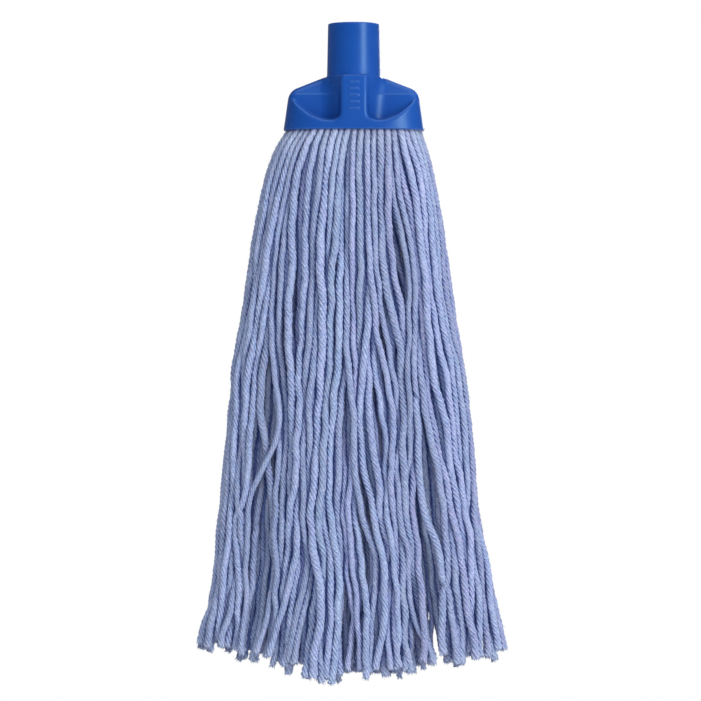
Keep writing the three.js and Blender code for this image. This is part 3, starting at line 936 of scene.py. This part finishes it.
def build_tufts():
    """An upper and a lower mesh for every tuft."""
    paths = solve_paths()
    count = paths.points.shape[1]
    tone = RNG.uniform(0, 1, count)
    yarn = build_strands(paths)
    yarn.tone = tone
    yarn.skin = skin_strands(paths)
    tufts = tuft_names(paths)
    # each strand passes from the upper to the lower mesh at its own height
    split = np.argmin(np.abs(yarn.z - RNG.uniform(-118, -96, count)[:, None]), 1)
    last_ring = yarn.surface.shape[1] - 1
    names = [f"yarn_{side}_{k}" for side in ("front", "back") for k in range(1, 6)]
    pieces = []
    for name in names + ["yarn_left", "yarn_right"]:
        ids = [i for i, tuft in enumerate(tufts) if tuft == name]
        mesh = YarnMesh()
        for i in ids:
            add_strand(mesh, yarn, i, 0, split[i])
        upper = mesh.build(name + "_strands_top")
        mesh = YarnMesh()
        for i in ids:
            add_strand(mesh, yarn, i, split[i], last_ring)
        lower = mesh.build(name + "_strands_low")
        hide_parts(name + "_upper")
        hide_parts(name + "_lower")
        for ob in (upper, lower):
            pieces.append(ob)
        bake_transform(upper)
        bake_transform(lower)
    return pieces


# ---------------------------------------------------------------- folds over the pin
FOLD_BORE = 2.25
FOLD_FOOT_Y, FOLD_FOOT_Z = 4.4, -21.4
FOLD_KNEE_Z, FOLD_HIP_Z = -18.9, -16.6
FOLD_RING = 8
FOLD_MAX_RADIUS = 1.95
FOLD_GROOVE = 0.74  # radius of the grooves as a share of the crests


def fold_path(x, radius):
    """Up one side of the pin, over it and down the other side."""
    bend = FOLD_BORE + radius * 0.98
    knee = bend + 0.35 * (FOLD_FOOT_Y - bend)
    leg = [(FOLD_FOOT_Y, FOLD_FOOT_Z), (knee, FOLD_KNEE_Z), (bend, FOLD_HIP_Z)]
    points = [(x, y, z) for y, z in leg]
    for angle in np.linspace(0.08, math.pi - 0.08, 9):
        points.append((x, bend * math.cos(angle), PIN_Z + bend * math.sin(angle)))
    points += [(x, -y, z) for y, z in leg[::-1]]
    return spline(points, 3)


def build_fold(node, strands_across):
    low, high = box_mm(node)
    width = high.x - low.x
    angles = np.arange(FOLD_RING) / FOLD_RING * TAU
    lobe = np.where(np.arange(FOLD_RING) % 2 == 0, 1.0, FOLD_GROOVE)
    valley = 1 - (lobe - FOLD_GROOVE) / (1 - FOLD_GROOVE)
    radius = min((width / strands_across) / 2 * 1.04, FOLD_MAX_RADIUS)
    mesh = YarnMesh()
    for k in range(strands_across):
        centre = fold_path(low.x + (k + 0.5) * width / strands_across, radius)
        along, side, cross, run = curve_frames(centre)
        turn = (k * 1.3 - TAU * run[:, None] / TWIST_PITCH + angles[None])[..., None]
        spoke = np.cos(turn) * side[:, None] + np.sin(turn) * cross[:, None]
        offset = radius * lobe[None, :, None] * spoke
        rows = len(centre)
        quads, tris = tube_faces(rows, FOLD_RING)
        mesh.add(
            verts=np.vstack([(centre[:, None] + offset).reshape(-1, 3), centre[0], centre[-1]]),
            normals=np.vstack([offset.reshape(-1, 3), -along[0], along[-1]]),
            quads=quads,
            tris=tris,
            run=np.concatenate([np.repeat(run, FOLD_RING), [0, run[-1]]]),
            angle=np.concatenate([np.tile(angles, rows), [0, 0]]),
            tone=(0.37 * k) % 1,
            valley=np.concatenate([np.tile(valley, rows), [1, 1]]),
            end=0.0,
        )
    ob = mesh.build(node + "_loops")
    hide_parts(node)
    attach(ob, "socket")
    return ob


# ---------------------------------------------------------------- shader helpers
def srgb(*channels):
    """Linear colour from 0-255 display values."""
    shares = [channel / 255 for channel in channels]
    linear = [c / 12.92 if c <= 0.04045 else ((c + 0.055) / 1.055) ** 2.4 for c in shares]
    return (*linear, 1.0)


def grey(value):
    return (value, value, value, 1)


class Nodes:
    """Builds the node tree of a material or world."""

    def __init__(self, owner):
        self.owner = owner
        owner.use_nodes = True
        self.tree = owner.node_tree
        self.tree.nodes.clear()

    def put(self, socket, value):
        """Link an output to the socket, or set the socket's value."""
        if hasattr(value, "is_output"):
            self.tree.links.new(value, socket)
        else:
            socket.default_value = value

    def new(self, kind, props=None, **inputs):
        node = self.tree.nodes.new(kind)
        for key, value in (props or {}).items():
            setattr(node, key, value)
        for key, value in inputs.items():
            self.put(node.inputs[key.replace("_", " ")], value)
        return node

    def math(self, operation, *values, clamp=False):
        node = self.new("ShaderNodeMath", {"operation": operation, "use_clamp": clamp})
        for k, value in enumerate(values):
            self.put(node.inputs[k], value)
        return node.outputs[0]

    def add(self, first, second):
        return self.math("ADD", first, second)

    def times(self, first, second):
        return self.math("MULTIPLY", first, second)

    def mix(self, factor, first, second, blend="MIX"):
        node = self.new("ShaderNodeMix", {"data_type": "RGBA", "blend_type": blend})
        for key, value in ((0, factor), (6, first), (7, second)):
            self.put(node.inputs[key], value)
        return node.outputs[2]

    def tint(self, colour, factor):
        return self.mix(1.0, colour, factor, "MULTIPLY")

    def ramp(self, factor, *stops):
        node = self.new("ShaderNodeValToRGB", Fac=factor)
        elements = node.color_ramp.elements
        while len(elements) < len(stops):
            elements.new(0.5)
        for element, (position, colour) in zip(elements, stops):
            element.position = position
            element.color = colour
        return node.outputs[0]

    def fade(self, factor, start, end, low=0, high=1):
        """Grey that goes from low at start to high at end."""
        return self.ramp(factor, (start, grey(low)), (end, grey(high)))

    def noise(self, vector, scale, detail=2.0, roughness=0.5):
        return self.new(
            "ShaderNodeTexNoise", Vector=vector, Scale=scale, Detail=detail, Roughness=roughness
        ).outputs["Fac"]

    def mapping(self, vector, **inputs):
        return self.new("ShaderNodeMapping", Vector=vector, **inputs).outputs[0]

    def object_coords(self):
        return self.new("ShaderNodeTexCoord").outputs["Object"]

    def attribute(self, name):
        return self.new("ShaderNodeAttribute", {"attribute_name": name}).outputs["Fac"]

    def occlusion(self, distance):
        node = self.new("ShaderNodeAmbientOcclusion", {"samples": 6}, Distance=distance)
        return node.outputs["AO"]

    def bump(self, strength, distance, height):
        return self.new(
            "ShaderNodeBump", Strength=strength, Distance=distance, Height=height
        ).outputs[0]

    def mix_shader(self, factor, first, second):
        node = self.new("ShaderNodeMixShader")
        for k, value in enumerate((factor, first, second)):
            self.put(node.inputs[k], value)
        return node.outputs[0]

    def finish(self, shader, kind="ShaderNodeOutputMaterial"):
        self.put(self.new(kind).inputs[0], shader)
        return self.owner


def material_nodes(name):
    return Nodes(bpy.data.materials.new(name))


# ---------------------------------------------------------------- materials
YARN_BLUE = srgb(149, 169, 207)
YARN_LIGHT = srgb(198, 208, 225)
YARN_LILAC = srgb(172, 176, 214)
YARN_GREY = srgb(156, 176, 204)
YARN_DEEP = srgb(97, 116, 174)
# painted glow colour for the deep gaps between strands
PAINTED_GAP_GLOW = srgb(34, 52, 112)
# painted shade: colour factors that darken the grooves between plies and the gaps between strands
GROOVE_SHADE_TINT = (0.42, 0.49, 0.68, 1)
GAP_SHADE_TINT = (0.16, 0.24, 0.47, 1)
# lean of single strands, from violet to grey-blue
STRAND_HUES = (
    (0.0, (1.035, 0.97, 1.00, 1)),
    (0.3, (1, 1, 1, 1)),
    (0.7, (0.99, 1.0, 0.995, 1)),
    (1.0, (0.965, 1.01, 0.975, 1)),
)

PLASTIC_BLUE = srgb(18, 69, 149)
PLASTIC_LIGHT = srgb(24, 76, 159)
PLASTIC_DEEP = srgb(12, 57, 134)
# painted highlight colour for the convex edges
PLASTIC_EDGE_HIGHLIGHT = srgb(92, 138, 214)
# painted shade colour factor for the hollows
HOLLOW_SHADE_TINT = (0.38, 0.50, 0.64, 1)
PLASTIC_ROUGHNESS = 0.30
PARTING_LINE_HALF_WIDTH = 0.00022

STEEL_DARK = srgb(176, 179, 184)
STEEL_LIGHT = srgb(206, 208, 212)
STEEL_SPOT = srgb(120, 112, 104)


def yarn_material():
    nodes = material_nodes("mop_yarn_melange")
    run, angle, rand, valley, end = (
        nodes.attribute("yarn_" + key) for key in ("s", "a", "rand", "valley", "end")
    )
    # coordinates that run along each ply, so fibres follow the twist
    around_x = nodes.times(nodes.math("COSINE", angle), 2.2)
    around_y = nodes.times(nodes.math("SINE", angle), 2.2)
    offset = nodes.times(rand, 900.0)

    def coords(stretch, shift, skew=0.0):
        z = nodes.add(nodes.times(run, stretch), nodes.add(offset, shift))
        x = nodes.add(around_x, nodes.times(run, skew)) if skew else around_x
        return nodes.new("ShaderNodeCombineXYZ", X=x, Y=around_y, Z=z).outputs[0]

    # dyed patches and fibres
    fibre = nodes.noise(coords(0.42, 0.0, 0.35), scale=1.55, detail=3.0, roughness=0.58)
    fine = nodes.noise(coords(0.36, 40.0, -0.3), scale=3.0, roughness=0.6)
    slub = nodes.noise(coords(0.06, 80.0), scale=0.8)
    patch = nodes.noise(coords(0.10, 160.0), scale=1.1, detail=3.0, roughness=0.6)
    colour = nodes.mix(nodes.fade(slub, 0.40, 0.62), YARN_BLUE, YARN_LILAC)
    colour = nodes.mix(nodes.fade(patch, 0.50, 0.68, high=0.9), colour, YARN_GREY)
    colour = nodes.mix(nodes.fade(fibre, 0.47, 0.64, high=0.78), colour, YARN_LIGHT)
    colour = nodes.mix(nodes.fade(fine, 0.36, 0.54, low=0.78, high=0), colour, YARN_DEEP)
    mottle = nodes.noise(coords(0.40, 220.0), scale=0.95, roughness=0.6)
    colour = nodes.tint(colour, nodes.fade(mottle, 0.34, 0.66, low=0.86, high=1.09))
    # each strand is its own shade
    hue = nodes.math("FRACT", nodes.times(rand, 7.31))
    colour = nodes.tint(colour, nodes.ramp(hue, *STRAND_HUES))
    shade = nodes.ramp(rand, (0.0, grey(0.82)), (0.5, grey(0.97)), (1.0, grey(1.08)))
    colour = nodes.tint(colour, shade)
    # painted shade: the grooves between plies are darkened and turned bluer
    groove = nodes.times(nodes.fade(valley, 0.35, 1.0), 0.54)
    colour = nodes.mix(groove, colour, nodes.tint(colour, GROOVE_SHADE_TINT))
    # painted shade: the sides of the strands and the gaps between them, found by ambient occlusion,
    # are darkened to navy
    gap = nodes.fade(nodes.occlusion(0.006), 0.13, 0.71, low=1, high=0)
    colour = nodes.mix(gap, colour, nodes.tint(colour, GAP_SHADE_TINT))
    # painted light: strands are lightened over the first few millimetres below the mouth, where the
    # socket shades them; they are also lighter towards their cut ends and on the loose fibres
    colour = nodes.mix(nodes.times(end, 0.25), colour, YARN_LIGHT)
    # fibre relief
    streak = nodes.noise(coords(0.16, 11.0, 0.9), scale=5.5, roughness=0.55)
    height = nodes.add(nodes.times(streak, 0.6), nodes.times(fibre, 0.5))
    shader = nodes.new(
        "ShaderNodeBsdfPrincipled",
        Base_Color=colour,
        Normal=nodes.bump(strength=0.45, distance=0.00042, height=height),
        # painted glow: a faint navy emission in the deep gaps stands in for light that soaks
        # through the yarn, keeping them navy rather than black
        Emission_Color=PAINTED_GAP_GLOW,
        Emission_Strength=nodes.times(nodes.times(gap, gap), 0.31),
        Roughness=0.92,
        Specular_IOR_Level=0.08,
        Sheen_Weight=0.12,
        Sheen_Roughness=0.45,
        Sheen_Tint=(0.85, 0.9, 1.0, 1),
    )
    return nodes.finish(shader.outputs[0])


def plastic_material():
    nodes = material_nodes("socket_plastic_satin")
    coords = nodes.object_coords()
    cloud = nodes.noise(coords, scale=38.0)
    flow = nodes.noise(nodes.mapping(coords, Scale=(60, 60, 14)), scale=1.0, detail=3.0)
    colour = nodes.mix(nodes.fade(cloud, 0.3, 0.7), PLASTIC_BLUE, PLASTIC_LIGHT)
    colour = nodes.mix(nodes.times(flow, 0.16), colour, PLASTIC_DEEP)
    # fine scuffs, and a painted highlight that lightens the outward edges
    scratched = nodes.mapping(coords, Rotation=(0.2, 0.5, 0.3), Scale=(900, 120, 240))
    scuff = nodes.fade(nodes.noise(scratched, scale=1.0, detail=4.0, roughness=0.7), 0.60, 0.72)
    pointiness = nodes.new("ShaderNodeNewGeometry").outputs["Pointiness"]
    # painted highlight: convex edges, found by pointiness, are lightened towards a pale blue
    edge_highlight = nodes.times(nodes.fade(pointiness, 0.505, 0.56), 0.35)
    colour = nodes.mix(nodes.times(edge_highlight, 0.5), colour, PLASTIC_EDGE_HIGHLIGHT)
    roughness = nodes.add(PLASTIC_ROUGHNESS, nodes.times(cloud, 0.05))
    roughness = nodes.add(roughness, nodes.times(scuff, 0.06))
    # moulded micro texture, scuffs and the mould's parting line along y = 0
    micro = nodes.noise(coords, scale=1500.0)
    wavy = nodes.noise(coords, scale=130.0, detail=1.0)
    y = nodes.new("ShaderNodeSeparateXYZ", Vector=coords).outputs["Y"]
    from_line = nodes.times(nodes.math("ABSOLUTE", y), 1.0 / PARTING_LINE_HALF_WIDTH)
    line = nodes.math("SUBTRACT", 1.0, from_line, clamp=True)
    height = nodes.add(nodes.times(micro, 0.10), nodes.times(wavy, 0.6))
    height = nodes.add(height, nodes.times(line, 0.9))
    height = nodes.add(height, nodes.times(scuff, -0.10))
    # painted shade: hollows found by ambient occlusion are darkened and given weaker reflections
    openness = nodes.fade(nodes.occlusion(0.016), 0.30, 0.92)
    shader = nodes.new(
        "ShaderNodeBsdfPrincipled",
        Base_Color=nodes.mix(openness, nodes.tint(colour, HOLLOW_SHADE_TINT), colour),
        Roughness=roughness,
        Normal=nodes.bump(strength=0.35, distance=0.00012, height=height),
        Specular_IOR_Level=nodes.add(0.16, nodes.times(openness, 0.30)),
        Specular_Tint=(0.50, 0.84, 1.0, 1),
        Subsurface_Weight=0.06,
        Subsurface_Radius=(0.0006, 0.0009, 0.002),
        Subsurface_Scale=1.0,
    )
    return nodes.finish(shader.outputs[0])


def steel_material():
    nodes = material_nodes("pin_steel_drawn")
    coords = nodes.object_coords()
    lines = nodes.noise(nodes.mapping(coords, Scale=(60, 2600, 2600)), scale=1.0, detail=3.0)
    spots = nodes.noise(coords, scale=700.0, detail=3.0)
    colour = nodes.mix(lines, STEEL_DARK, STEEL_LIGHT)
    colour = nodes.mix(nodes.fade(spots, 0.62, 0.74, high=0.5), colour, STEEL_SPOT)
    shader = nodes.new(
        "ShaderNodeBsdfPrincipled",
        Metallic=1.0,
        Base_Color=colour,
        Roughness=nodes.add(0.26, nodes.times(lines, 0.2)),
        Normal=nodes.bump(strength=0.3, distance=0.0001, height=lines),
    )
    return nodes.finish(shader.outputs[0])


# ---------------------------------------------------------------- studio and camera
CENTRE_Z = -0.1471
FLOOR_Z = -0.395
FLOOR_HALF_SIZE = 6.0
WHITE = (1, 1, 1, 1)
WORLD_STRENGTH = 0.20
# name, place, width, height, power, seen in reflections
# (two are kept out of reflections so the plastic stays deep)
LIGHTS = [
    ("key_right", (1.14, -1.24, 0.25), 0.50, 1.4, 20.0, True),
    ("fill_front", (-0.05, -2.3, 0.9), 0.9, 0.9, 25.0, False),
    ("top_soft", (0.1, -0.2, 1.3), 1.2, 1.0, 7.0, True),
    ("back_fill", (0.5, 1.9, 0.7), 1.2, 1.2, 24.0, True),
    ("back_left", (-0.9, 1.8, 0.4), 0.8, 1.2, 11.0, False),
]


def floor_material():
    """Pure white to the camera, near-white to light, clear from below."""
    nodes = material_nodes("studio_white")
    to_camera = nodes.new("ShaderNodeLightPath").outputs["Is Camera Ray"]
    diffuse = nodes.new("ShaderNodeBsdfDiffuse", Color=(0.86, 0.86, 0.87, 1)).outputs[0]
    glow = nodes.new("ShaderNodeEmission", Color=WHITE, Strength=1.0).outputs[0]
    top = nodes.mix_shader(to_camera, diffuse, glow)
    backfacing = nodes.new("ShaderNodeNewGeometry").outputs["Backfacing"]
    clear = nodes.new("ShaderNodeBsdfTransparent").outputs[0]
    return nodes.finish(nodes.mix_shader(backfacing, top, clear))


def build_floor():
    signs = ((-1, -1), (1, -1), (1, 1), (-1, 1))
    half_size = FLOOR_HALF_SIZE * 1000
    verts = [(x * half_size, y * half_size, FLOOR_Z * 1000) for x, y in signs]
    floor = mesh_object("studio_floor", verts, [(0, 1, 2, 3)])
    floor.data.materials.append(floor_material())


def build_world():
    """White to the camera, a faint cool light to everything else."""
    world = bpy.data.worlds.new("studio_world")
    bpy.context.scene.world = world
    nodes = Nodes(world)
    to_camera = nodes.new("ShaderNodeLightPath").outputs["Is Camera Ray"]
    ambient = nodes.new(
        "ShaderNodeBackground", Color=(0.95, 0.97, 1.0, 1), Strength=WORLD_STRENGTH
    ).outputs[0]
    backdrop = nodes.new("ShaderNodeBackground", Color=WHITE, Strength=1.0).outputs[0]
    nodes.finish(nodes.mix_shader(to_camera, ambient, backdrop), "ShaderNodeOutputWorld")


def add_light(name, place, width, height, power, reflected):
    """A rectangular light aimed at the middle of the mop head."""
    light = bpy.data.lights.new(name, "AREA")
    light.shape = "RECTANGLE"
    light.size = width
    light.size_y = height
    light.energy = power
    ob = bpy.data.objects.new(name, light)
    bpy.context.scene.collection.objects.link(ob)
    ob.location = place
    ob.rotation_mode = "QUATERNION"
    aim = Vector((0, 0, CENTRE_Z)) - Vector(place)
    ob.rotation_quaternion = aim.to_track_quat("-Z", "Y")
    ob.visible_glossy = reflected


def add_camera():
    """Level camera in front of the mop head."""
    data = bpy.data.cameras.new("camera")
    camera = bpy.data.objects.new("camera", data)
    bpy.context.scene.collection.objects.link(camera)
    camera.location = (-0.0020, -2.0, CENTRE_Z)
    camera.rotation_euler = (math.pi / 2, 0, 0)
    data.sensor_width = 36.0
    data.lens = 180.2
    data.clip_start = 0.05
    data.clip_end = 30
    bpy.context.scene.camera = camera


# ---------------------------------------------------------------- build
yarn_pieces = build_tufts()
for number in range(1, 6):
    yarn_pieces.append(build_fold(f"yarn_fold_{number}", strands_across=3))
for end_name in ("left", "right"):
    yarn_pieces.append(build_fold(f"yarn_fold_{end_name}", strands_across=1))
socket = build_socket()
pin = build_pin()

yarn = yarn_material()
for piece in yarn_pieces:
    piece.data.materials.append(yarn)
socket.data.materials.append(plastic_material())
pin.data.materials.append(steel_material())

build_floor()
build_world()
for light_values in LIGHTS:
    add_light(*light_values)
add_camera()
bpy.context.scene.view_settings.view_transform = "Standard"
bpy.context.scene.view_settings.look = "None"
